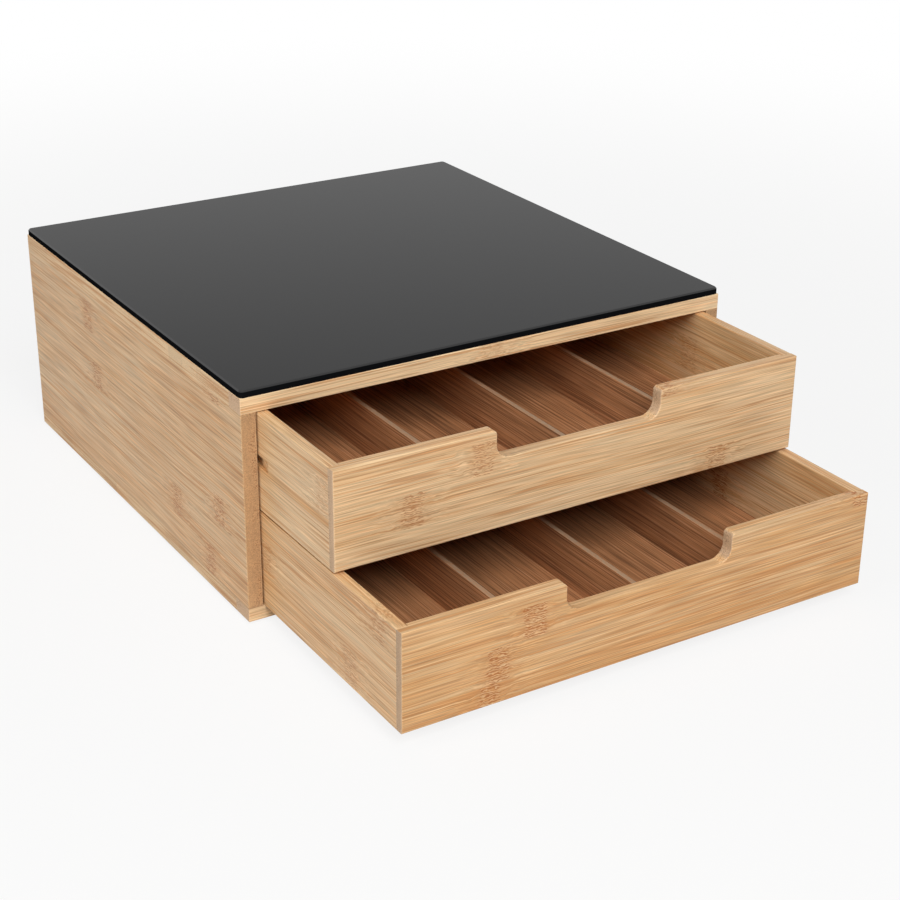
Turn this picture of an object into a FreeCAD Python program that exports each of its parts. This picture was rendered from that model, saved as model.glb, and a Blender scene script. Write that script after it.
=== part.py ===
"""Two-tier coffee capsule drawer: a bamboo case with a glass top and two sliding drawers.

Millimetres. X runs to the right, Y to the back, Z up. The origin is the centre of the
glass top's upper face. The drawers are drawn partly open.
"""

import FreeCAD
import Part

import os

# Case
case_width = 310.0
case_depth = 310.0
top_board_thickness = 9.0
bottom_board_thickness = 8.0
side_thickness = 8.5
back_panel_thickness = 6.0
back_rabbet_depth = 4.0
board_edge_radius = 0.5

# Glass plate
glass_thickness = 4.0
glass_inset = 0.25
glass_corner_radius = 2.5
glass_arris = 0.8

# Anti-slip feet
foot_diameter = 12.0
foot_thickness = 1.5
foot_edge_distance = 18.0

# Dowels between the sides and the boards
dowel_diameter = 5.0
dowel_depth_in_board = 6.0
dowel_depth_in_side = 12.0
dowel_end_distance = 40.0
dowel_clearance = 0.05

# Drawer boxes
drawer_height = 55.4
drawer_wall_thickness = 6.5
drawer_front_thickness = 7.5
drawer_lip_thickness = 5.0
drawer_back_thickness = 6.5
drawer_back_rabbet_depth = 3.0
drawer_side_gap = 1.0
drawer_rear_gap = 0.5
drawer_slide_gap = 0.3
drawer_between_gap = 1.3
drawer_top_gap = 0.6
front_edge_radius = 0.8
wall_edge_radius = 0.5

# Drawer bottoms
floor_thickness = 4.0
floor_raise = 3.0
floor_groove_depth = 3.0
floor_groove_clearance = 0.2

# Partitions
divider_thickness = 3.0
divider_height = 28.0
divider_housing_depth = 2.0
divider_housing_clearance = 0.1
divider_edge_radius = 0.4
divider_places = ("left", "middle", "right")

# Finger notch
notch_width = 103.0
notch_depth = 16.0
notch_top_radius = 2.5
notch_bottom_radius = 8.0

# Runners and the grooves that ride on them
runner_height = 5.9
runner_seat_depth = 3.0
runner_clearance = 0.3
runner_edge_radius = 0.5
groove_depth = 3.0
groove_height_in_drawer = 25.0
groove_front_setback = 70.6
groove_cutter_radius = 75.0

# Photographed openings
upper_drawer_pull = 81.0
lower_drawer_pull = 146.0

# Worked out from the sizes above
case_front_y = -case_depth / 2
case_back_y = case_depth / 2
case_top_z = -glass_thickness
inner_ceiling_z = case_top_z - top_board_thickness
upper_drawer_z = inner_ceiling_z - drawer_top_gap - drawer_height
lower_drawer_z = upper_drawer_z - drawer_between_gap - drawer_height
inner_floor_z = lower_drawer_z - drawer_slide_gap
case_bottom_z = inner_floor_z - bottom_board_thickness
inner_half_width = case_width / 2 - side_thickness
drawer_half_width = inner_half_width - drawer_side_gap
drawer_length = case_depth - back_panel_thickness - drawer_rear_gap
drawer_inner_half_width = drawer_half_width - drawer_wall_thickness
side_name_signs = {"left": -1, "right": 1}


def box(x_range, y_range, z_range):
    """Axis-aligned block between two values on each axis, given in either order."""
    low = [min(r) for r in (x_range, y_range, z_range)]
    high = [max(r) for r in (x_range, y_range, z_range)]
    return Part.makeBox(
        high[0] - low[0],
        high[1] - low[1],
        high[2] - low[2],
        FreeCAD.Vector(*low),
    )


def ease(shape, radius, chosen):
    """Round the edges whose bounding box the test picks."""
    edges = [edge for edge in shape.Edges if chosen(edge.BoundBox)]
    return shape.makeFillet(radius, edges)


def near(a, b):
    return abs(a - b) < 1e-4


def lies_on_y(bounds, y):
    return near(bounds.YMin, y) and near(bounds.YMax, y)


def lies_on_z(bounds, z):
    return near(bounds.ZMin, z) and near(bounds.ZMax, z)


def is_upright(bounds):
    return bounds.ZLength > max(bounds.XLength, bounds.YLength)


def runs_along_x(bounds):
    return bounds.XLength > max(bounds.YLength, bounds.ZLength)


def runs_along_y(bounds):
    return bounds.YLength > max(bounds.XLength, bounds.ZLength)


def case_board(low_z, high_z, outer_z):
    """Full-size board with eased corners, front and rear edges and outer rim."""
    half = case_width / 2
    board = box((-half, half), (case_front_y, case_back_y), (low_z, high_z))
    return ease(
        board,
        board_edge_radius,
        lambda b: is_upright(b) or runs_along_x(b) or lies_on_z(b, outer_z),
    )


def dowel_places():
    """Names, sides, boards and depths of the dowels: three to a joint."""
    reach = case_depth / 2 - dowel_end_distance
    for board, joint_z, up in (("top", inner_ceiling_z, 1), ("bottom", inner_floor_z, -1)):
        for side, sign in side_name_signs.items():
            x = sign * (case_width / 2 - side_thickness / 2)
            for place, y in (("front", -reach), ("middle", 0.0), ("rear", reach)):
                yield f"dowel_{board}_{side}_{place}", x, y, joint_z, up


def dowel(x, y, joint_z, up, clearance=0.0):
    """Round pin across a joint, or the hole for it when a clearance is given."""
    start = joint_z - up * (dowel_depth_in_side + clearance)
    length = dowel_depth_in_side + dowel_depth_in_board + 2 * clearance
    radius = dowel_diameter / 2 + clearance
    base = FreeCAD.Vector(x, y, start)
    return Part.makeCylinder(radius, length, base, FreeCAD.Vector(0, 0, up))


def dowel_holes():
    holes = [dowel(x, y, z, up, dowel_clearance) for _, x, y, z, up in dowel_places()]
    return Part.makeCompound(holes)


def runner(sign):
    """Strip let into the side whose rounded inner edges reach into the drawer's groove."""
    inner_x = sign * (drawer_half_width - groove_depth + runner_clearance)
    return ease(
        runner_block(sign),
        runner_edge_radius,
        lambda b: near(b.XMin, inner_x) and near(b.XMax, inner_x),
    )


def runner_block(sign):
    """The room that a runner takes before its edges are rounded."""
    outer_x = inner_half_width + runner_seat_depth
    inner_x = drawer_half_width - groove_depth + runner_clearance
    groove_end_y = case_front_y + groove_front_setback + groove_run_out()
    low_z = upper_drawer_z + groove_height_in_drawer + runner_clearance
    return box(
        (sign * inner_x, sign * outer_x),
        (groove_end_y + runner_clearance, case_back_y - back_panel_thickness),
        (low_z, low_z + runner_height),
    )


def groove_run_out():
    """Length over which a round cutter leaves the wood at the groove's front end."""
    rise = groove_cutter_radius - groove_depth
    return (groove_cutter_radius**2 - rise**2) ** 0.5


def case_side(sign):
    """Side panel between the boards, with its rear rabbet and the runner's housing."""
    inner_x = sign * inner_half_width
    outer_x = sign * case_width / 2
    z_range = (inner_floor_z, inner_ceiling_z)
    panel = box((inner_x, outer_x), (case_front_y, case_back_y), z_range)
    rabbet_x = inner_x + sign * back_rabbet_depth
    rabbet_y = case_back_y - back_panel_thickness
    panel = panel.cut(box((inner_x, rabbet_x), (rabbet_y, case_back_y), z_range))
    panel = panel.cut(runner_block(sign)).cut(dowel_holes())
    return ease(panel, board_edge_radius, lambda b: is_upright(b) and near(b.XMin, outer_x))


def back_panel():
    half = inner_half_width + back_rabbet_depth
    y_range = (case_back_y - back_panel_thickness, case_back_y)
    return box((-half, half), y_range, (inner_floor_z, inner_ceiling_z))


def glass_plate():
    """Square plate with rounded corners and a ground arris round its top."""
    half_x = case_width / 2 - glass_inset
    half_y = case_depth / 2 - glass_inset
    plate = box((-half_x, half_x), (-half_y, half_y), (case_top_z, 0.0))
    plate = ease(plate, glass_corner_radius, is_upright)
    rim = [edge for edge in plate.Edges if lies_on_z(edge.BoundBox, 0.0)]
    return plate.makeChamfer(glass_arris, rim)


def foot(x_sign, y_sign):
    """Thin round pad stuck under a corner of the bottom board."""
    x = x_sign * (case_width / 2 - foot_edge_distance)
    y = y_sign * (case_depth / 2 - foot_edge_distance)
    base = FreeCAD.Vector(x, y, case_bottom_z - foot_thickness)
    return Part.makeCylinder(foot_diameter / 2, foot_thickness, base)


def notch_cutter(front_y, top_z):
    """Prism of the notch: rounded shoulders at the top and large radii at the bottom."""
    half = notch_width / 2
    low_z = top_z - notch_depth
    deep = notch_bottom_radius
    turn = notch_top_radius
    diagonal = 0.5**0.5
    overshoot = turn

    def at(x, z):
        return FreeCAD.Vector(x, front_y - overshoot, z)

    def shoulder(sign):
        centre = at(sign * (half + turn), top_z - turn)
        middle = centre + FreeCAD.Vector(-sign * turn * diagonal, 0, turn * diagonal)
        return at(sign * (half + turn), top_z), middle, at(sign * half, top_z - turn)

    def corner(sign):
        centre = at(sign * (half - deep), low_z + deep)
        middle = centre + FreeCAD.Vector(sign * deep * diagonal, 0, -deep * diagonal)
        return at(sign * half, low_z + deep), middle, at(sign * (half - deep), low_z)

    left_shoulder = shoulder(-1)
    left_corner = corner(-1)
    right_corner = corner(1)[::-1]
    right_shoulder = shoulder(1)[::-1]
    top_right = at(half + turn, top_z + overshoot)
    top_left = at(-half - turn, top_z + overshoot)
    edges = [
        Part.Arc(*left_shoulder).toShape(),
        Part.LineSegment(left_shoulder[2], left_corner[0]).toShape(),
        Part.Arc(*left_corner).toShape(),
        Part.LineSegment(left_corner[2], right_corner[0]).toShape(),
        Part.Arc(*right_corner).toShape(),
        Part.LineSegment(right_corner[2], right_shoulder[0]).toShape(),
        Part.Arc(*right_shoulder).toShape(),
        Part.LineSegment(right_shoulder[2], top_right).toShape(),
        Part.LineSegment(top_right, top_left).toShape(),
        Part.LineSegment(top_left, left_shoulder[0]).toShape(),
    ]
    face = Part.Face(Part.Wire(edges))
    return face.extrude(FreeCAD.Vector(0, drawer_front_thickness + 2 * overshoot, 0))


def divider_centres():
    """Middle of each partition: the lanes between them are equal."""
    count = len(divider_places)
    room = 2 * drawer_inner_half_width - count * divider_thickness
    pitch = room / (count + 1) + divider_thickness
    return {place: (i - (count - 1) / 2) * pitch for i, place in enumerate(divider_places)}


class Drawer:
    """One drawer box: where it stands and its pieces."""

    def __init__(self, name, bottom_z, pull, grooved):
        self.name = name
        self.z = bottom_z
        self.top_z = bottom_z + drawer_height
        self.y = case_front_y - pull
        self.grooved = grooved
        self.inner_front_y = self.y + drawer_front_thickness
        self.rear_y = self.y + drawer_length
        self.inner_rear_y = self.rear_y - drawer_back_thickness
        self.floor_z = bottom_z + floor_raise + floor_thickness

    def bottom_panel(self, clearance):
        """Panel that reaches into the grooves of all four walls."""
        reach = floor_groove_depth - clearance
        half = drawer_inner_half_width + reach
        return box(
            (-half, half),
            (self.inner_front_y - reach, self.inner_rear_y + reach),
            (self.z + floor_raise, self.floor_z),
        )

    def divider(self, centre_x, clearance):
        """Thin partition on the floor, housed in the front and the back."""
        reach = divider_housing_depth - clearance
        return box(
            (centre_x - divider_thickness / 2, centre_x + divider_thickness / 2),
            (self.inner_front_y - reach, self.inner_rear_y + reach),
            (self.floor_z, self.floor_z + divider_height),
        )

    def eased_divider(self, centre_x):
        """Partition as it stands in its housings, with its two long top edges rounded."""
        top_z = self.floor_z + divider_height
        return ease(
            self.divider(centre_x, divider_housing_clearance),
            divider_edge_radius,
            lambda b: lies_on_z(b, top_z) and runs_along_y(b),
        )

    def housings(self):
        """Everything that the walls leave room for: the bottom and the partitions."""
        cuts = [self.bottom_panel(0.0)]
        cuts += [self.divider(x, 0.0) for x in divider_centres().values()]
        return Part.makeCompound(cuts)

    def front(self):
        """Notched front whose ends are rabbeted over the sides."""
        panel = box(
            (-drawer_half_width, drawer_half_width),
            (self.y, self.inner_front_y),
            (self.z, self.top_z),
        )
        panel = panel.cut(notch_cutter(self.y, self.top_z))
        panel = ease(panel, front_edge_radius, lambda b: lies_on_y(b, self.y))
        panel = ease(
            panel,
            wall_edge_radius,
            lambda b: lies_on_y(b, self.inner_front_y) and b.ZMin > self.z + floor_raise,
        )
        for sign in side_name_signs.values():
            panel = panel.cut(self.side_block(sign))
        return panel.cut(self.housings())

    def side_block(self, sign):
        """The room that a side takes before its own cuts."""
        return box(
            (sign * drawer_inner_half_width, sign * drawer_half_width),
            (self.y + drawer_lip_thickness, self.rear_y),
            (self.z, self.top_z),
        )

    def runner_groove(self, sign):
        """Outer groove, open at the rear, that fades out at its front end."""
        face_x = sign * drawer_half_width
        floor_x = sign * (drawer_half_width - groove_depth)
        low_z = self.z + groove_height_in_drawer
        height = runner_height + 2 * runner_clearance
        end_y = self.y + groove_front_setback + groove_run_out()
        slot = box((face_x, floor_x), (end_y, self.rear_y), (low_z, low_z + height))
        axis_x = floor_x + sign * groove_cutter_radius
        cutter = Part.makeCylinder(
            groove_cutter_radius,
            height,
            FreeCAD.Vector(axis_x, end_y, low_z),
        )
        return slot.fuse(cutter)

    def side(self, sign):
        """Side wall behind the front's lip, with a rear rabbet for the back."""
        wall = ease(
            self.side_block(sign),
            wall_edge_radius,
            lambda b: lies_on_z(b, self.top_z) and runs_along_y(b),
        )
        wall = wall.cut(self.back_block()).cut(self.bottom_panel(0.0))
        if self.grooved:
            wall = wall.cut(self.runner_groove(sign))
        return wall

    def back_block(self):
        half = drawer_inner_half_width + drawer_back_rabbet_depth
        return box((-half, half), (self.inner_rear_y, self.rear_y), (self.z, self.top_z))

    def back(self):
        """Back wall between the sides, with its two long top edges rounded."""
        wall = ease(
            self.back_block(),
            wall_edge_radius,
            lambda b: lies_on_z(b, self.top_z) and runs_along_x(b),
        )
        return wall.cut(self.housings())

    def pieces(self):
        yield "front", self.front()
        for side, sign in side_name_signs.items():
            yield f"{side}_side", self.side(sign)
        yield "back", self.back()
        yield "bottom", self.bottom_panel(floor_groove_clearance)
        for place, x in divider_centres().items():
            yield f"divider_{place}", self.eased_divider(x)


def case_pieces():
    holes = dowel_holes()
    yield "top_board", case_board(inner_ceiling_z, case_top_z, case_top_z).cut(holes)
    yield "bottom_board", case_board(case_bottom_z, inner_floor_z, case_bottom_z).cut(holes)
    for side, sign in side_name_signs.items():
        yield f"{side}_side", case_side(sign)
        yield f"{side}_runner", runner(sign)
    yield "back_panel", back_panel()
    yield "glass_top", glass_plate()
    for row, y_sign in (("front", -1), ("rear", 1)):
        for side, x_sign in side_name_signs.items():
            yield f"foot_{row}_{side}", foot(x_sign, y_sign)
    for name, x, y, joint_z, up in dowel_places():
        yield name, dowel(x, y, joint_z, up)


def export(name, shape):
    """Write one piece as a single solid."""
    solids = shape.Solids
    if len(solids) != 1 or not shape.isValid():
        raise ValueError(f"{name} is not one valid solid")
    solids[0].exportStep(f"parts/{name}.step")


def main():
    os.makedirs("parts", exist_ok=True)
    for name, shape in case_pieces():
        export(name, shape)
    drawers = (
        Drawer("upper_drawer", upper_drawer_z, upper_drawer_pull, grooved=True),
        Drawer("lower_drawer", lower_drawer_z, lower_drawer_pull, grooved=False),
    )
    for drawer in drawers:
        for piece, shape in drawer.pieces():
            export(f"{drawer.name}_{piece}", shape)


main()
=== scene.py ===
"""Finish of the coffee capsule drawer.

Laminated bamboo, brown bamboo sheet, black glass, rubber feet and a pale studio.
"""

import math
import random
from typing import NamedTuple

import bpy
from bpy.props import FloatProperty, FloatVectorProperty, IntProperty, PointerProperty
from mathutils import Euler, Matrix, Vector


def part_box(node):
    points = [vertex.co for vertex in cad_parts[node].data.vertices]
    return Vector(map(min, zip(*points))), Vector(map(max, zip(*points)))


bl_info = {
    "name": "Capsule Drawer Finish",
    "version": (1, 0, 0),
    "blender": (4, 5, 0),
    "location": "3D View > Sidebar > Capsule Drawer",
    "description": "Gives each piece of the capsule drawer its finish and sets up the studio",
    "category": "Material",
}

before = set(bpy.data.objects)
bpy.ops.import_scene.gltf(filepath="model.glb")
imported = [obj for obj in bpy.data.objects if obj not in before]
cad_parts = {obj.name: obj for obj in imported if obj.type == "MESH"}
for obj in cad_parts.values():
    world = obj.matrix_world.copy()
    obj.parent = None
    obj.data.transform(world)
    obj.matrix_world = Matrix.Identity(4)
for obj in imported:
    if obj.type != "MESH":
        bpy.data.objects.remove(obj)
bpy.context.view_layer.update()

X, Y, Z = 0, 1, 2
MILLIMETRES = 1000.0  # in a metre
WHITE = (1.0, 1.0, 1.0, 1.0)
DRAWERS = ("upper_drawer", "lower_drawer")

# Sockets of a Mix node that mixes colours.
MIX_SHARE, MIX_FIRST, MIX_SECOND = 0, 6, 7
MIX_RESULT = 2

# Strips of a board. Lengths are in millimetres.
NO_KNUCKLE = -999.0  # place of a knuckle that isn't on the board
KNUCKLE_RANGE = (-0.1, 1.1)  # where a drawn knuckle may lie, as shares of the board's length
EDGE_STRIP = (0.3, 1.0)  # share of its width that a drawn strip keeps at the board's edge
RAMP_MARGIN = 100.0  # how far past both ends the ramp of a board can place a knuckle
LANE_STEP = 911.0  # how far the tone moves a strip through the noise, so that no two match

# Noise.
NOISE_REACH = 400.0  # highest start that is drawn for a board
NOISE_HEADING = (1.0, 0.37, 0.71)  # direction in which a start moves a pattern

# Share of a normal along an axis, from a slanted face to one that looks along it.
FACING = (0.5, 0.85)

# Details of the bamboo, in millimetres. Pairs are distances at which one begins and is full.
SWIRL_REACH = (34.0, 4.0)
SWIRL_SHIFT = 4.0
PATCH_FRAY = 8.0
HAZE_FRAY = 20.0
RIDGE_SPACING = 1.4
RIDGE_SHIFT = 3.6
GREY_BORDER = 0.5
# Reach of the painted highlight along a board's edges.
EDGE_HIGHLIGHT_REACH = (0.8, 0.1)
SEAM_REACH = (0.9, 0.2)

# Studio, in metres.
FLOOR_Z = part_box("foot_front_left")[0].z
FLOOR_REACH = 8.0  # from the middle to each side
FLOOR_FADE = (0.35, 1.3)  # distances from the middle between which the floor turns white
CLIP_START, CLIP_END = 0.05, 50.0
SENSOR_WIDTH = 36.0  # in millimetres

# The photograph's camera, in pixels of a picture 900 pixels wide.
HALF_PICTURE = 450.0
FOCAL_LENGTH = 1849.43


class Pattern(NamedTuple):
    """Soft noise around 0.5, with the sizes of its spots in millimetres.

    A board's sizes run along, across and through it. Patterns with other starts don't match.
    """

    sizes: tuple
    start: float = 0.0
    detail: float = 2.0
    roughness: float = 0.5
    distortion: float = 0.0


# Patterns of the laminated bamboo.
WANDER = Pattern((110.0, 26.0, 26.0), detail=1.0)
SWIRL = Pattern((11.0, 4.0, 4.0), 5.0)
BANDS = Pattern((150.0, 4.5, 4.5), 11.0)
THREADS = Pattern((80.0, 0.9, 0.9), 23.0)
HAIRS = Pattern((30.0, 0.42, 0.42), 31.0, detail=1.0)
CLOUDS = Pattern((60.0, 16.0, 16.0), 41.0, detail=1.0)
KNUCKLE_FRAY = Pattern((5.0, 1.8, 1.8), 53.0)
KNUCKLE_TURN = Pattern((5.0, 2.6, 2.6), 61.0, detail=1.0)
KNUCKLE_BREAKS = Pattern((2.5, 0.85, 0.85), 67.0, detail=1.0)
END_LAYERS = Pattern((120.0, 9.0, 4.0), 71.0, detail=1.0)
END_PLIES = Pattern((120.0, 60.0, 1.0), 83.0)
END_PORES = (60.0, 0.9, 0.9)

# Patterns of the brown sheet.
SHEET_WANDER = Pattern((90.0, 30.0, 30.0), detail=1.0)
SHEET_BANDS = Pattern((200.0, 4.0, 4.0), 3.0)
SHEET_THREADS = Pattern((70.0, 0.8, 0.8), 13.0, detail=1.0)
SHEET_HAIRS = Pattern((22.0, 0.3, 0.3), 29.0, detail=1.0)
SHEET_BLOTCHES = Pattern((45.0, 18.0, 18.0), 37.0)
SHEET_NICKS = Pattern((2.5, 1.0, 1.0), 43.0)

# Patterns of the other pieces.
GLASS_DUST = Pattern((1.2, 1.2, 1.2))
GLASS_WIPES = Pattern((90.0, 30.0, 30.0), 7.0, distortion=0.6)
GLASS_GRIND = Pattern((0.5, 0.5, 0.15), 3.0)
RUBBER_GRIT = Pattern((0.25, 0.25, 0.25), detail=3.0, roughness=0.7)
RUBBER_PATCHES = Pattern((4.0, 4.0, 4.0), 9.0)
DOWEL_FIBRES = Pattern((0.5, 0.5, 9.0), 4.0, detail=3.0)
DOWEL_RINGS = Pattern((2.4, 1.2, 60.0), 2.0)
FLOOR_MOTTLE = Pattern((0.4, 0.4, 0.4))  # used on places in metres


def paint(red, green, blue):
    """Linear colour of a paint sample given as screen values from 0 to 255."""
    return tuple(
        part / 12.92 if part <= 0.04045 else ((part + 0.055) / 1.055) ** 2.4
        for part in (red / 255, green / 255, blue / 255)
    )


def colour_property(name, description, sample):
    return FloatVectorProperty(
        name=name, description=description, subtype="COLOR", size=3, min=0.0, max=1.0,
        default=paint(*sample),
    )


def share_property(name, description, default):
    return FloatProperty(
        name=name, description=description, subtype="FACTOR", min=0.0, max=1.0, default=default
    )


def length_property(name, description, default):
    return FloatProperty(
        name=name, description=description, subtype="DISTANCE", unit="LENGTH", min=0.0,
        default=default, precision=5,
    )


def power_property(name, description, default):
    return FloatProperty(
        name=name, description=description, unit="POWER", min=0.0, default=default
    )


def place_property(name, description, default):
    return FloatVectorProperty(
        name=name, description=description, subtype="TRANSLATION", unit="LENGTH", size=3,
        default=default, precision=5,
    )


class BambooSettings(bpy.types.PropertyGroup):
    """Colours and grain of the laminated bamboo."""

    pale: colour_property("Pale fibre", "Lightest wood between the fibre bundles", (228, 196, 154))
    deep: colour_property("Deep fibre", "Warmer wood of the darker strips", (206, 155, 98))
    line: colour_property("Grain line", "Fine lines along the grain", (190, 126, 68))
    # The fleck colour is also the colour of the painted highlight along the edges.
    fleck: colour_property("Fleck", "Bright fibres in a knuckle", (240, 212, 168))
    knuckle: colour_property("Knuckle", "Strokes where a joint of the cane was", (164, 92, 34))
    end: colour_property("End grain", "Ground colour of the cut ends", (190, 149, 107))
    grey_end: colour_property(
        "Grey end grain", "Ground colour of the greyish cut ends", (206, 172, 138)
    )
    end_dot: colour_property("End grain dot", "Fibre bundles on the cut ends", (132, 84, 48))
    strip_width: length_property("Strip width", "Usual width of one glued strip", 0.0185)
    wave: length_property("Wave", "How far the grain wanders sideways", 0.0012)
    knuckle_width: length_property(
        "Knuckle width", "Length of a knuckle along the grain", 0.013
    )
    contrast: share_property("Contrast", "Strength of the grain lines", 0.62)
    roughness: share_property("Roughness", "Roughness of the satin lacquer", 0.46)


class SheetSettings(bpy.types.PropertyGroup):
    """Colours of the brown bamboo sheet of the floors and partitions."""

    ground: colour_property("Ground", "Main brown of the sheet", (172, 119, 78))
    dark: colour_property("Dark line", "Fine dark lines along the grain", (110, 71, 43))
    light: colour_property("Light line", "Fine light lines along the grain", (200, 150, 110))
    cut: colour_property("Cut edge", "Sawn top edge of a partition", (160, 132, 106))
    strip_width: length_property("Strip width", "Usual width of one strip of the sheet", 0.024)
    roughness: share_property("Roughness", "Roughness of the bare sheet", 0.62)


class GlassSettings(bpy.types.PropertyGroup):
    """The black glass plate."""

    body: colour_property("Body", "Colour of the opaque glass", (18, 18, 19))
    edge: colour_property("Edge", "Colour of the ground edges", (17, 18, 20))
    shine: share_property("Shine", "Strength of the mirror image in the face", 0.08)
    gloss: share_property("Face roughness", "Roughness of the polished face", 0.04)
    edge_roughness: share_property("Edge roughness", "Roughness of the ground edges", 0.4)
    rim_shine: share_property(
        "Rim shine", "Strength of the mirror image in the bevelled rim", 0.5
    )
    rim_roughness: share_property("Rim roughness", "Roughness of the bevelled rim", 0.16)


class SmallPartSettings(bpy.types.PropertyGroup):
    """The feet and the dowels."""

    rubber: colour_property("Rubber", "Colour of the feet", (44, 44, 45))
    dowel: colour_property("Dowel", "Bare wood of the dowels", (206, 170, 124))
    rubber_roughness: share_property("Rubber roughness", "Roughness of the feet", 0.8)


class StudioSettings(bpy.types.PropertyGroup):
    """Floor, lights and camera."""

    floor: colour_property("Floor", "Colour of the studio floor", (226, 226, 225))
    floor_lift: share_property(
        "Floor lift", "How far the floor is lifted to the white background", 0.84
    )
    room: FloatProperty(
        name="Room light", description="Strength of the even light from all sides",
        min=0.0, default=0.12,
    )
    main_lamp: power_property("Main lamp", "Power of the high lamp in front", 42.3)
    side_lamp: power_property("Side lamp", "Power of the left lamp", 12.2)
    main_lamp_place: place_property(
        "Main lamp place", "Centre of the high lamp in front", (-0.5, -1.7, 1.5)
    )
    side_lamp_place: place_property(
        "Side lamp place", "Centre of the left lamp", (-1.8, -0.3, 1.0)
    )
    lamp_size: length_property("Lamp size", "Side of each square lamp", 1.1)
    camera_place: place_property(
        "Camera place", "Where the camera stands", (-0.51759, -0.94315, 0.36515)
    )
    camera_turn: FloatVectorProperty(
        name="Camera turn", description="Upward turn from straight down, roll and heading",
        subtype="EULER", unit="ROTATION", size=3,
        default=(math.radians(65.279), 0.0, math.radians(-31.773)),
    )
    camera_roll: FloatProperty(
        name="Camera roll", description="Turn about the line of sight",
        subtype="ANGLE", unit="ROTATION", default=0.00827,
    )
    field_of_view: FloatProperty(
        name="Field of view", description="Full width of the view",
        subtype="ANGLE", unit="ROTATION", min=0.01, max=3.0,
        default=2 * math.atan(HALF_PICTURE / FOCAL_LENGTH),
    )


class DrawerSettings(bpy.types.PropertyGroup):
    """All settings of the finish."""

    bamboo: PointerProperty(type=BambooSettings)
    sheet: PointerProperty(type=SheetSettings)
    glass: PointerProperty(type=GlassSettings)
    small: PointerProperty(type=SmallPartSettings)
    studio: PointerProperty(type=StudioSettings)
    seed: IntProperty(name="Seed", description="Varies the strips of the boards", min=0, default=7)


class Value:
    """One output of a node, which takes part in plain arithmetic."""

    def __init__(self, shader, socket):
        self.shader = shader
        self.socket = socket

    def math(self, operation, *values):
        return self.shader.add("ShaderNodeMath", {"operation": operation}, dict(enumerate(values)))

    def __add__(self, other):
        return self.math("ADD", self, other)

    def __radd__(self, other):
        return self.math("ADD", other, self)

    def __sub__(self, other):
        return self.math("SUBTRACT", self, other)

    def __rsub__(self, other):
        return self.math("SUBTRACT", other, self)

    def __mul__(self, other):
        return self.math("MULTIPLY", self, other)

    def __rmul__(self, other):
        return self.math("MULTIPLY", other, self)

    def __truediv__(self, other):
        return self.math("DIVIDE", self, other)

    def __rtruediv__(self, other):
        return self.math("DIVIDE", other, self)

    def __abs__(self):
        return self.math("ABSOLUTE", self)

    def sine(self):
        return self.math("SINE", self)

    def least(self, other):
        return self.math("MINIMUM", self, other)

    def most(self, other):
        return self.math("MAXIMUM", self, other)

    def rise(self, start, stop):
        """0 up to start, 1 from stop on and a smooth step between them, in either order."""
        return self.shader.add(
            "ShaderNodeMapRange",
            {"interpolation_type": "SMOOTHSTEP"},
            {"Value": self, "From Min": start, "From Max": stop},
        )


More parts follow.
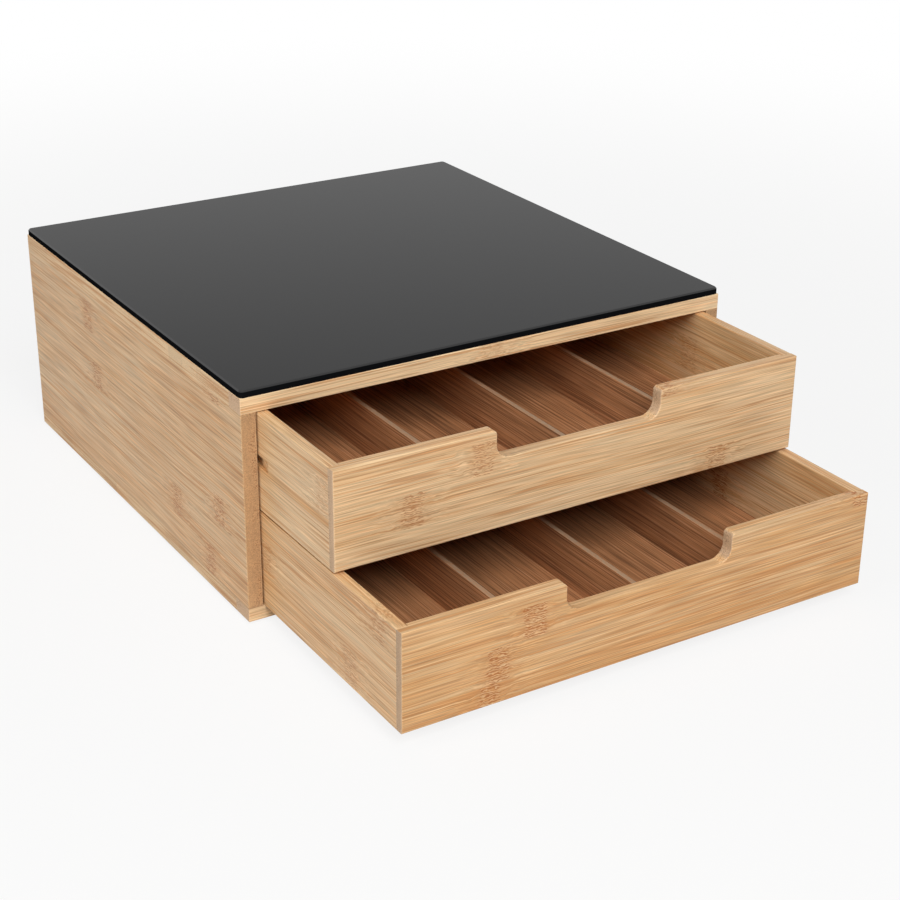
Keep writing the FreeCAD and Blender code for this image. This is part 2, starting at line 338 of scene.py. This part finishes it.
class Shader:
    """The node tree of one material or of the world."""

    def __init__(self, owner):
        owner.use_nodes = True
        self.owner = owner
        self.tree = owner.node_tree
        self.tree.nodes.clear()

    def add(self, kind, settings=None, sockets=None, output=0):
        """Add a node: its settings first, then the values or links of its sockets."""
        node = self.tree.nodes.new(kind)
        for name, setting in (settings or {}).items():
            if name == "stops":
                self.set_stops(node.color_ramp, setting)
            else:
                setattr(node, name, setting)
        for name, value in (sockets or {}).items():
            if isinstance(value, Value):
                self.tree.links.new(value.socket, node.inputs[name])
            else:
                node.inputs[name].default_value = value
        return Value(self, node.outputs[output]) if node.outputs else None

    def set_stops(self, ramp, stops):
        """Steps of a ramp, each a position and the colour that holds up to the next one."""
        ramp.interpolation = "CONSTANT"
        while len(ramp.elements) < len(stops):
            ramp.elements.new(1.0)
        for element, (position, colour) in zip(ramp.elements, stops):
            element.position = position
            element.color = (*colour, 1.0)

    def all_outputs(self, value):
        return [Value(self, socket) for socket in value.socket.node.outputs]

    def coordinate(self, output):
        return self.add("ShaderNodeTexCoord", output=output)

    def separate(self, vector):
        return self.all_outputs(self.add("ShaderNodeSeparateXYZ", sockets={0: vector}))

    def combine(self, x, y, z):
        return self.add("ShaderNodeCombineXYZ", sockets={0: x, 1: y, 2: z})

    def scaled(self, vector, factors, offset=(0.0, 0.0, 0.0)):
        return self.add(
            "ShaderNodeVectorMath",
            {"operation": "MULTIPLY_ADD"},
            {0: vector, 1: factors, 2: offset},
        )

    def millimetres(self, corner=(0.0, 0.0, 0.0)):
        """Place of a point in millimetres from a corner, which is given in metres."""
        offset = tuple(-part * MILLIMETRES for part in corner)
        return self.scaled(self.coordinate("Object"), (MILLIMETRES,) * 3, offset)

    def noise(self, vector, pattern, start=0.0):
        """The pattern's noise, moved on by a further start."""
        factors = tuple(1 / size for size in pattern.sizes)
        offset = tuple((start + pattern.start) * part for part in NOISE_HEADING)
        return self.add(
            "ShaderNodeTexNoise",
            sockets={
                "Vector": self.scaled(vector, factors, offset),
                "Scale": 1.0,
                "Detail": pattern.detail,
                "Roughness": pattern.roughness,
                "Distortion": pattern.distortion,
            },
        )

    def dots(self, vector, sizes):
        """Distance from the nearest of many scattered points, in spacings."""
        factors = tuple(1 / size for size in sizes)
        scaled = self.scaled(vector, factors)
        return self.add("ShaderNodeTexVoronoi", sockets={"Vector": scaled, "Scale": 1.0})

    def mix(self, share, first, second, **settings):
        return self.add(
            "ShaderNodeMix",
            {"data_type": "RGBA", **settings},
            {MIX_SHARE: share, MIX_FIRST: solid(first), MIX_SECOND: solid(second)},
            output=MIX_RESULT,
        )

    def blend(self, share, first, second):
        """Second colour over the first one, each a colour or a value."""
        return self.mix(share, first, second)

    def shade(self, colour, amount):
        """Colour made lighter or darker by a value around 1."""
        grey = self.combine(amount, amount, amount)
        return self.mix(1.0, colour, grey, blend_type="MULTIPLY")

    def bump(self, height, depth):
        """Normal of a surface whose height runs from 0 to 1 over a depth in millimetres."""
        sockets = {"Distance": depth / MILLIMETRES, "Height": height}
        return self.add("ShaderNodeBump", sockets=sockets)

    def surface(self, **sockets):
        named = {name.replace("_", " "): value for name, value in sockets.items()}
        return self.add("ShaderNodeBsdfPrincipled", sockets=named)

    def layered(self, share, under, over):
        """One surface over another one."""
        return self.add("ShaderNodeMixShader", sockets={0: share, 1: under, 2: over})

    def finish(self, surface, kind="ShaderNodeOutputMaterial"):
        self.add(kind, sockets={0: surface})
        return self.owner


def solid(colour):
    return colour if isinstance(colour, Value) else (*colour, 1.0)


class Strip(NamedTuple):
    """One glued strip: its width, where its knuckle lies along the board, and its tone.

    Lengths are in millimetres, and the tone runs from 0, pale, to 1, deep.
    """

    width: float
    knuckle: float
    tone: float


class Board(NamedTuple):
    """How one board is cut, and what sets it apart.

    along and across are the axes of its grain, and strips are its first ones, low edge first.
    warmth moves it from pale to deep wood, and lift is painted light and shade: it makes the whole
    board lighter or darker to stand in for the light it gets. knuckles and seam are the strengths
    of its knuckles and of the dark line along its low edge, where it meets the next board.
    grey_end is how many millimetres of its cut ends are greyish, from the low edge on, and
    lined_ends draws the rest of these ends with lines instead of dots.
    """

    node: str
    along: int
    across: int
    strips: tuple = ()
    warmth: float = 0.0
    lift: float = 0.0
    knuckles: float = 0.8
    grey_end: float = 0.0
    lined_ends: bool = False
    seam: float = 0.0


def all_strips(board, low, size, usual, draw):
    """The board's own strips, then more of the usual width drawn by the seed."""
    strips = list(board.strips)
    if not strips:
        width = usual * draw.uniform(*EDGE_STRIP)
        strips.append(Strip(width, low + size[0] * draw.random(), draw.random()))
    while sum(strip.width for strip in strips) < size[1]:
        knuckle = low + size[0] * draw.uniform(*KNUCKLE_RANGE)
        strips.append(Strip(usual, knuckle, draw.random()))
    return strips


def strip_ramp(shader, across, low, size, strips):
    """Knuckle place and tone of the strip that a point lies in."""
    reach = size[0] + 2 * RAMP_MARGIN
    stops = []
    edge = 0.0
    for strip in strips:
        place = (strip.knuckle - low + RAMP_MARGIN) / reach
        stops.append((min(edge / size[1], 1.0), (min(max(place, 0.0), 1.0), strip.tone, 0.0)))
        edge += strip.width
    ramp = shader.add("ShaderNodeValToRGB", {"stops": stops}, {0: across / size[1]})
    knuckle, tone, _ = shader.separate(ramp)
    return knuckle * reach - RAMP_MARGIN, tone


def board_space(shader, board):
    """A point's place in the board, the low end of its grain and its size, all in millimetres.

    The place and the size run along, across and through the board.
    """
    low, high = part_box(board.node)
    size = (high - low) * MILLIMETRES
    order = (board.along, board.across, X + Y + Z - board.along - board.across)
    parts = shader.separate(shader.millimetres(low))
    place = [parts[axis] for axis in order]
    return place, low[board.along] * MILLIMETRES, [size[axis] for axis in order]


def edge_distance(parts, sizes):
    """Distance from the nearest edge of a block, for a point on its surface."""
    a, b, c = (part.least(size - part) for part, size in zip(parts, sizes))
    return a.least(b).most(a.most(b).least(c))


def bamboo_material(board, settings):
    """Laminated bamboo: glued strips, fine grain, knuckles, dotted end grain and a painted
    highlight along the edges.
    """
    look = settings.bamboo
    shader = Shader(bpy.data.materials.new(board.node))
    (along, across, through), low, size = board_space(shader, board)
    draw = random.Random(f"{board.node}{settings.seed}")
    start = draw.uniform(0.0, NOISE_REACH)
    strips = all_strips(board, low, size, look.strip_width * MILLIMETRES, draw)
    knuckle, tone = strip_ramp(shader, across, low, size, strips)
    lane = across + tone * LANE_STEP

    # The grain wanders slowly sideways, and swirls round a knuckle.
    straight = shader.combine(along, lane, through)
    near = abs(along - knuckle)
    wander = shader.noise(straight, WANDER, start) - 0.5
    swirl = shader.noise(straight, SWIRL, start) - 0.5
    drift = wander * (look.wave * MILLIMETRES * 2)
    shift = drift + swirl * near.rise(*SWIRL_REACH) * SWIRL_SHIFT
    bent = shader.combine(along, lane + shift, through + shift * 0.5)

    # Noise at four scales, from which the lines are cut out.
    bands = shader.noise(bent, BANDS, start)
    threads = shader.noise(bent, THREADS, start)
    hairs = shader.noise(bent, HAIRS, start)
    clouds = shader.noise(bent, CLOUDS, start)
    lines = threads.rise(0.51, 0.59) * (bands.rise(0.32, 0.6) * 0.6 + 0.4)
    glints = threads.rise(0.45, 0.36)
    normal = shader.separate(shader.coordinate("Normal"))
    sawn = abs(normal[board.across]).rise(*FACING)

    # Ground colour, from pale to deep wood, with its lines and bright fibres.
    depth = (tone - 0.5) * 0.6 + (bands - 0.5) * 0.65 + (clouds - 0.5) * 0.75
    depth = depth + sawn * (0.12 - max(board.warmth, 0.0)) + (0.42 + board.warmth)
    colour = shader.blend(depth.most(0.0).least(1.0), look.pale, look.deep)
    colour = shader.blend(lines * look.contrast, colour, look.line)
    colour = shader.blend(glints * 0.3, colour, look.fleck)
    # lift paints light and shade: the whole board is made lighter or darker for the light it gets.
    colour = shader.shade(colour, (1.0 + board.lift) + (hairs - 0.5) * 1.15)

    # A knuckle is a frayed patch of dark strokes and bright flecks in darker wood.
    half = look.knuckle_width * MILLIMETRES / 2
    fray = shader.noise(straight, KNUCKLE_FRAY, start) - 0.5
    patch = (near + fray * PATCH_FRAY).rise(half * 1.15, half * 0.8) * board.knuckles
    haze = (near + fray * HAZE_FRAY).rise(half * 2.6, half * 0.3) * board.knuckles
    turn = shader.noise(straight, KNUCKLE_TURN, start) - 0.5
    ridge = ((lane + turn * RIDGE_SHIFT) * (2 * math.pi / RIDGE_SPACING)).sine()
    breaks = shader.noise(straight, KNUCKLE_BREAKS, start)
    stroke = ridge.rise(-0.2, 0.4) * breaks.rise(0.4, 0.48) * patch
    flecks = ridge.rise(-0.3, -0.8) * breaks.rise(0.4, 0.55) * patch
    colour = shader.blend(haze * 0.35, colour, look.line)
    colour = shader.blend(stroke * 0.88, colour, look.knuckle)
    colour = shader.blend(flecks * 0.4, colour, look.fleck)

    # Cut ends: fibre bundles as dots, or the lines of the plies beside a greyish part.
    end = abs(normal[board.along]).rise(*FACING)
    layers = shader.noise(bent, END_LAYERS, start)
    dense = (through / size[2]).rise(0.15, 0.75) * layers.rise(0.3, 0.62)
    pore = shader.dots(bent, END_PORES).rise(0.5, 0.2) * dense
    grey = across.rise(board.grey_end + GREY_BORDER, board.grey_end)
    evenness = 0.94 - board.warmth * 0.3 + (tone - 0.5) * 0.14 + (hairs - 0.5) * 1.0
    if board.lined_ends:
        plies = shader.noise(shader.combine(along, across, through), END_PLIES, start)
        lined = shader.blend(plies.rise(0.42, 0.62) * 0.7, look.pale, look.line)
        end_ground = shader.blend(grey, shader.shade(lined, 0.92), look.grey_end)
        pore = pore * grey
    else:
        end_ground = shader.blend(grey, look.end, look.grey_end)
        evenness = evenness + (layers - 0.5) * 0.3
    end_colour = shader.blend(pore * 0.8, end_ground, look.end_dot)
    colour = shader.blend(end, colour, shader.shade(end_colour, evenness))

    # Painted highlight: paler edges that stand in for eased edges catching light. Then a dark line
    # along the low edge.
    edge = edge_distance((along, across, through), size).rise(*EDGE_HIGHLIGHT_REACH)
    colour = shader.blend(edge * 0.1, colour, look.fleck)
    # Darker along the low edge, where the board meets the next one.
    colour = shader.blend(across.rise(*SEAM_REACH) * board.seam, colour, look.end_dot)

    relief = 0.5 - lines * 0.25 + (hairs - 0.5) * 0.5 - stroke * 0.15 - pore * end * 0.5
    roughness = (hairs - 0.5) * 0.2 + lines * 0.06 + end * 0.14 + stroke * 0.08 + look.roughness
    normals = shader.bump(relief, depth=0.06)
    return shader.finish(shader.surface(Base_Color=colour, Roughness=roughness, Normal=normals))


def sheet_material(board, settings):
    """Thin brown bamboo sheet with fine dark and light lines and a paler sawn edge."""
    look = settings.sheet
    shader = Shader(bpy.data.materials.new(board.node))
    (along, across, through), low, size = board_space(shader, board)
    draw = random.Random(f"{board.node}{settings.seed}")
    start = draw.uniform(0.0, NOISE_REACH)
    strips = all_strips(board, low, size, look.strip_width * MILLIMETRES, draw)
    _, tone = strip_ramp(shader, across, low, size, strips)
    lane = across + tone * LANE_STEP
    wander = shader.noise(shader.combine(along, lane, through), SHEET_WANDER, start) - 0.5
    bent = shader.combine(along, lane + wander * 2.0, through)

    bands = shader.noise(bent, SHEET_BANDS, start)
    threads = shader.noise(bent, SHEET_THREADS, start)
    hairs = shader.noise(bent, SHEET_HAIRS, start)
    blotches = shader.noise(bent, SHEET_BLOTCHES, start)
    dark = threads.rise(0.5, 0.64)
    light = threads.rise(0.44, 0.32)
    amount = 0.94 + tone * 0.12 + (bands - 0.5) * 0.4 + (hairs - 0.5) * 1.1 + (blotches - 0.5) * 0.3
    colour = shader.blend(dark * 0.75, look.ground, look.dark)
    colour = shader.blend(light * 0.5, colour, look.light)
    colour = shader.shade(colour, amount)
    if board.across == Z:
        # An upright sheet shows its sawn edge on top.
        sawn = shader.separate(shader.coordinate("Normal"))[Z].rise(0.5, 0.9)
        nicks = shader.noise(bent, SHEET_NICKS, start).rise(0.45, 0.7)
        cut = shader.blend(nicks * 0.6 + dark * 0.2, look.cut, look.ground)
        colour = shader.blend(sawn, colour, cut)
    relief = 0.5 - dark * 0.3 + (hairs - 0.5) * 0.6
    roughness = (hairs - 0.5) * 0.2 + dark * 0.08 + look.roughness
    normals = shader.bump(relief, depth=0.05)
    return shader.finish(shader.surface(Base_Color=colour, Roughness=roughness, Normal=normals))


def glass_material(settings):
    """Opaque black glass: a polished face with faint wipe marks, a shiny bevel, ground edges."""
    look = settings.glass
    shader = Shader(bpy.data.materials.new("black_glass_plate"))
    place = shader.millimetres()
    upward = shader.separate(shader.coordinate("Normal"))[Z]
    dust = shader.noise(place, GLASS_DUST)
    wipes = shader.noise(place, GLASS_WIPES)
    polished = shader.surface(
        Base_Color=shader.shade(look.body, 0.85 + dust * 0.3),
        Roughness=(wipes - 0.45).most(0.0) * 0.06 + look.gloss,
        Specular_IOR_Level=look.shine,
    )
    grind = shader.noise(place, GLASS_GRIND)
    ground = shader.surface(
        Base_Color=shader.shade(look.edge, 0.7 + grind * 0.6),
        Roughness=(grind - 0.5) * 0.2 + look.edge_roughness,
        Specular_IOR_Level=0.0,
        Normal=shader.bump(grind, depth=0.01),
    )
    bevel = shader.surface(
        Base_Color=shader.shade(look.body, 0.85 + dust * 0.3),
        Roughness=(grind - 0.5) * 0.1 + look.rim_roughness,
        Specular_IOR_Level=look.rim_shine,
    )
    edges = shader.layered(upward.rise(0.3, 0.6), ground, bevel)
    return shader.finish(shader.layered(upward.rise(0.85, 0.98), edges, polished))


def rubber_material(settings):
    """Matte grey rubber with a fine moulded texture."""
    look = settings.small
    shader = Shader(bpy.data.materials.new("foot_rubber_pad"))
    place = shader.millimetres()
    grit = shader.noise(place, RUBBER_GRIT)
    patches = shader.noise(place, RUBBER_PATCHES)
    surface = shader.surface(
        Base_Color=shader.shade(look.rubber, 0.75 + grit * 0.3 + patches * 0.2),
        Roughness=(grit - 0.5) * 0.15 + look.rubber_roughness,
        Normal=shader.bump(grit, depth=0.03),
    )
    return shader.finish(surface)


def dowel_material(settings):
    """Bare turned wood with upright fibres."""
    look = settings.small
    shader = Shader(bpy.data.materials.new("dowel_pin_wood"))
    place = shader.millimetres()
    fibres = shader.noise(place, DOWEL_FIBRES)
    rings = shader.noise(place, DOWEL_RINGS)
    surface = shader.surface(
        Base_Color=shader.shade(look.dowel, 0.72 + fibres * 0.4 + rings * 0.16),
        Roughness=0.6 + (fibres - 0.5) * 0.2,
        Normal=shader.bump(fibres, depth=0.04),
    )
    return shader.finish(surface)


def dress(node, material):
    """Give a piece its finish."""
    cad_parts[node].material_slots[0].material = material


def dress_boards(context, boards):
    settings = context.scene.capsule_drawer
    for board in boards:
        dress(board.node, bamboo_material(board, settings))
    return {"FINISHED"}


def dress_sheets(context, boards):
    settings = context.scene.capsule_drawer
    for board in boards:
        dress(board.node, sheet_material(board, settings))
    return {"FINISHED"}


def dress_alike(prefix, material):
    """Give all pieces whose names start alike the same finish."""
    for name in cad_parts:
        if name.startswith(prefix):
            dress(name, material)
    return {"FINISHED"}


class FinishTopAndBottomBoards(bpy.types.Operator):
    """Finish the full-size boards over and under the case"""

    bl_idname = "capsule_drawer.boards"
    bl_label = "Top and bottom boards"

    def execute(self, context):
        front_top = (Strip(15.5, -2.0, 0.2),)
        front_bottom = (Strip(17.0, NO_KNUCKLE, 0.3),)
        # lift on these boards is painted light and shade on the whole board.
        boards = (
            Board(
                "top_board", X, Y, front_top, warmth=-0.45, lift=0.12, knuckles=0.2,
                grey_end=13.0, lined_ends=True,
            ),
            Board(
                "bottom_board", X, Y, front_bottom, warmth=-0.18, lift=-0.06,
                grey_end=15.0, lined_ends=True,
            ),
        )
        return dress_boards(context, boards)


class FinishCaseSides(bpy.types.Operator):
    """Finish the two sides of the case"""

    bl_idname = "capsule_drawer.case_sides"
    bl_label = "Case sides"

    def execute(self, context):
        strips = (
            Strip(18.0, -108.5, 0.62),
            Strip(18.0, -65.0, 0.35),
            Strip(17.5, -123.0, 0.45),
            Strip(16.5, 47.0, 0.4),
            Strip(19.0, NO_KNUCKLE, 0.55),
            Strip(19.5, 56.5, 0.48),
            Strip(4.5, -122.5, 0.3),
        )
        # lift on the left side is painted shade on the whole board.
        left = Board("left_side", Y, Z, strips, warmth=0.08, lift=-0.06, knuckles=0.75, seam=0.5)
        right = Board("right_side", Y, Z, knuckles=0.6, seam=0.5)
        return dress_boards(context, (left, right))


class FinishBackPanel(bpy.types.Operator):
    """Finish the panel let into the back of the case"""

    bl_idname = "capsule_drawer.back_panel"
    bl_label = "Back panel"

    def execute(self, context):
        return dress_boards(context, (Board("back_panel", X, Z),))


class FinishRunners(bpy.types.Operator):
    """Finish the runners of the upper drawer"""

    bl_idname = "capsule_drawer.runners"
    bl_label = "Runners"

    def execute(self, context):
        boards = [Board(f"{side}_runner", Y, Z) for side in ("left", "right")]
        return dress_boards(context, boards)


class FinishDrawerFronts(bpy.types.Operator):
    """Finish the notched fronts of the drawers"""

    bl_idname = "capsule_drawer.fronts"
    bl_label = "Drawer fronts"

    def execute(self, context):
        upper = (
            Strip(13.5, 92.5, 0.12),
            Strip(18.8, -100.8, 0.45),
            Strip(18.2, -59.5, 0.45),
            Strip(4.9, 54.5, 0.5),
        )
        lower = (
            Strip(12.3, -95.8, 0.75),
            Strip(18.7, -91.4, 0.55),
            Strip(18.0, -70.2, 0.5),
            Strip(6.4, 141.0, 0.4),
        )
        # lift on the lower front is painted shade on the whole board.
        boards = (
            Board(
                "upper_drawer_front", X, Z, upper, warmth=-0.05, knuckles=0.62, grey_end=60.0
            ),
            Board(
                "lower_drawer_front", X, Z, lower, warmth=0.4, lift=-0.03, knuckles=0.9,
                grey_end=60.0,
            ),
        )
        return dress_boards(context, boards)


class FinishDrawerSides(bpy.types.Operator):
    """Finish the four sides of the drawers"""

    bl_idname = "capsule_drawer.drawer_sides"
    bl_label = "Drawer sides"

    def execute(self, context):
        upper_left = (
            Strip(22.0, NO_KNUCKLE, 0.25),
            Strip(5.0, NO_KNUCKLE, 0.95),
            Strip(20.0, -225.0, 0.3),
            Strip(8.4, NO_KNUCKLE, 0.5),
        )
        upper_right = (
            Strip(19.0, NO_KNUCKLE, 0.4),
            Strip(20.0, -151.0, 0.5),
            Strip(16.4, NO_KNUCKLE, 0.45),
        )
        lower_left = (
            Strip(21.0, -251.0, 0.58),
            Strip(18.5, -158.0, 0.35),
            Strip(15.9, -279.0, 0.48),
        )
        boards = (
            Board("upper_drawer_left_side", Y, Z, upper_left, knuckles=0.3),
            Board("upper_drawer_right_side", Y, Z, upper_right, warmth=0.2, knuckles=0.4),
            Board("lower_drawer_left_side", Y, Z, lower_left, warmth=0.1, knuckles=0.45),
            Board("lower_drawer_right_side", Y, Z, warmth=0.2),
        )
        return dress_boards(context, boards)


class FinishDrawerBacks(bpy.types.Operator):
    """Finish the back walls of the drawers"""

    bl_idname = "capsule_drawer.drawer_backs"
    bl_label = "Drawer backs"

    def execute(self, context):
        boards = [Board(f"{drawer}_back", X, Z) for drawer in DRAWERS]
        return dress_boards(context, boards)


class FinishDrawerBottoms(bpy.types.Operator):
    """Finish the brown floors of the drawers"""

    bl_idname = "capsule_drawer.drawer_bottoms"
    bl_label = "Drawer bottoms"

    def execute(self, context):
        boards = [Board(f"{drawer}_bottom", Y, X) for drawer in DRAWERS]
        return dress_sheets(context, boards)


class FinishPartitions(bpy.types.Operator):
    """Finish the six brown partitions"""

    bl_idname = "capsule_drawer.partitions"
    bl_label = "Partitions"

    def execute(self, context):
        boards = [
            Board(f"{drawer}_divider_{place}", Y, Z)
            for drawer in DRAWERS
            for place in ("left", "middle", "right")
        ]
        return dress_sheets(context, boards)


class FinishGlass(bpy.types.Operator):
    """Finish the black glass plate"""

    bl_idname = "capsule_drawer.glass"
    bl_label = "Glass plate"

    def execute(self, context):
        dress("glass_top", glass_material(context.scene.capsule_drawer))
        return {"FINISHED"}


class FinishFeet(bpy.types.Operator):
    """Finish the four rubber feet"""

    bl_idname = "capsule_drawer.feet"
    bl_label = "Feet"

    def execute(self, context):
        return dress_alike("foot_", rubber_material(context.scene.capsule_drawer))


class FinishDowels(bpy.types.Operator):
    """Finish the dowels in the corner joints"""

    bl_idname = "capsule_drawer.dowels"
    bl_label = "Dowels"

    def execute(self, context):
        return dress_alike("dowel_", dowel_material(context.scene.capsule_drawer))


def seen_ray(shader):
    """1 for rays that show the background: from the camera, a reflection or through glass."""
    path = shader.add("ShaderNodeLightPath")
    rays = {ray.socket.name: ray for ray in shader.all_outputs(path)}
    return rays["Is Camera Ray"].most(rays["Is Glossy Ray"]).most(rays["Is Transmission Ray"])


def build_floor(scene, studio):
    """A pale floor that keeps the object's shadow and turns white further out."""
    mesh = bpy.data.meshes.new("studio_floor")
    corners = [
        (x * FLOOR_REACH, y * FLOOR_REACH, FLOOR_Z)
        for x, y in ((-1, -1), (1, -1), (1, 1), (-1, 1))
    ]
    mesh.from_pydata(corners, [], [(0, 1, 2, 3)])
    floor = bpy.data.objects.new("studio_floor", mesh)
    scene.collection.objects.link(floor)
    shader = Shader(bpy.data.materials.new("studio_floor"))
    place = shader.coordinate("Object")
    mottle = shader.noise(place, FLOOR_MOTTLE)
    distance = shader.add(
        "ShaderNodeVectorMath", {"operation": "LENGTH"}, {0: place}, output="Value"
    )
    lift = distance.rise(*FLOOR_FADE) * (1.0 - studio.floor_lift) + studio.floor_lift
    colour = shader.shade(studio.floor, 0.99 + mottle * 0.02)
    card = shader.surface(Base_Color=colour, Roughness=0.9)
    white = shader.add("ShaderNodeEmission", sockets={"Color": WHITE, "Strength": 1.0})
    both = shader.layered(seen_ray(shader) * lift, card, white)
    mesh.materials.append(shader.finish(both))


def build_world(scene, studio):
    """Even light from all sides, which is white where it is seen itself."""
    scene.world = bpy.data.worlds.new("studio_room")
    shader = Shader(scene.world)
    strength = seen_ray(shader) * (1.0 - studio.room) + studio.room
    light = shader.add("ShaderNodeBackground", sockets={"Color": WHITE, "Strength": strength})
    shader.finish(light, "ShaderNodeOutputWorld")


def build_lamp(scene, studio, name):
    """A square lamp that faces the middle of the glass."""
    lamp = bpy.data.lights.new(name, "AREA")
    lamp.shape = "SQUARE"
    lamp.size = studio.lamp_size
    lamp.energy = getattr(studio, name)
    place = Vector(getattr(studio, f"{name}_place"))
    holder = bpy.data.objects.new(name, lamp)
    holder.location = place
    holder.rotation_euler = (-place).to_track_quat("-Z", "Y").to_euler()
    scene.collection.objects.link(holder)


def build_camera(scene, studio):
    """The photograph's camera, with no shift and no depth of field."""
    lens = bpy.data.cameras.new("camera")
    lens.sensor_width = SENSOR_WIDTH
    lens.angle = studio.field_of_view
    lens.clip_start = CLIP_START
    lens.clip_end = CLIP_END
    camera = bpy.data.objects.new("camera", lens)
    roll = Euler((0.0, 0.0, studio.camera_roll))
    turn = Euler(studio.camera_turn).to_matrix() @ roll.to_matrix()
    camera.rotation_euler = turn.to_euler()
    camera.location = studio.camera_place
    scene.collection.objects.link(camera)
    scene.camera = camera


class BuildStudio(bpy.types.Operator):
    """Build the floor, the lights and the camera"""

    bl_idname = "capsule_drawer.studio"
    bl_label = "Studio"

    def execute(self, context):
        scene = context.scene
        studio = scene.capsule_drawer.studio
        build_floor(scene, studio)
        build_world(scene, studio)
        for name in ("main_lamp", "side_lamp"):
            build_lamp(scene, studio, name)
        build_camera(scene, studio)
        scene.view_settings.view_transform = "Standard"
        return {"FINISHED"}


STEPS = (
    FinishTopAndBottomBoards,
    FinishCaseSides,
    FinishBackPanel,
    FinishRunners,
    FinishDrawerFronts,
    FinishDrawerSides,
    FinishDrawerBacks,
    FinishDrawerBottoms,
    FinishPartitions,
    FinishGlass,
    FinishFeet,
    FinishDowels,
    BuildStudio,
)


class DrawerPanel(bpy.types.Panel):
    """Steps that finish the capsule drawer"""

    bl_idname = "VIEW3D_PT_capsule_drawer"
    bl_label = "Capsule Drawer"
    bl_space_type = "VIEW_3D"
    bl_region_type = "UI"
    bl_category = "Capsule Drawer"

    def draw(self, context):
        for step in STEPS:
            self.layout.operator(step.bl_idname)


CLASSES = (
    BambooSettings,
    SheetSettings,
    GlassSettings,
    SmallPartSettings,
    StudioSettings,
    DrawerSettings,
    *STEPS,
    DrawerPanel,
)


def register():
    for kind in CLASSES:
        bpy.utils.register_class(kind)
    bpy.types.Scene.capsule_drawer = PointerProperty(type=DrawerSettings)


def unregister():
    del bpy.types.Scene.capsule_drawer
    for kind in reversed(CLASSES):
        bpy.utils.unregister_class(kind)


def main():
    register()
    for step in STEPS:
        group, name = step.bl_idname.split(".")
        getattr(getattr(bpy.ops, group), name)()


if __name__ == "__main__":
    main()
